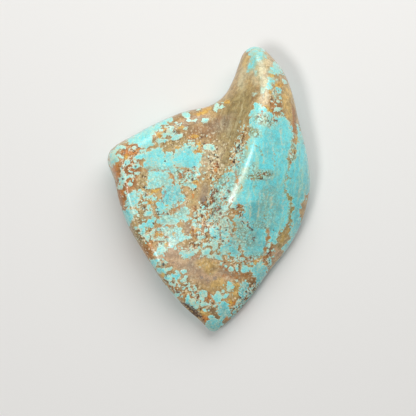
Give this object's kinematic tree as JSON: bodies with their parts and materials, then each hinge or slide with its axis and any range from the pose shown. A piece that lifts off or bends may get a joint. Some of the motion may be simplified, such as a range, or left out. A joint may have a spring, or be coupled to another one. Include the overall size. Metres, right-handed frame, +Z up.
{
  "type": "polished freeform turquoise specimen",
  "caption": "Freeform turquoise stone with brown matrix, softly polished: a peaked leaf outline, a crest and a valley on its face, resting on a flat back.",
  "frame": {"origin": "on the flat back, under the middle of the outline", "axes": "+Z up out of the face, away from the flat back; +Y along the length, towards the peak; +X to the right seen from above"},
  "size_m": [0.054, 0.0756, 0.0203],
  "materials": {
    "turquoise": "soft waxy polish; blue-green turquoise nodules in tan, brown and rust matrix"
  },
  "bodies": {
    "root": {"turquoise_stone": "turquoise"}
  },
  "joints": []
}
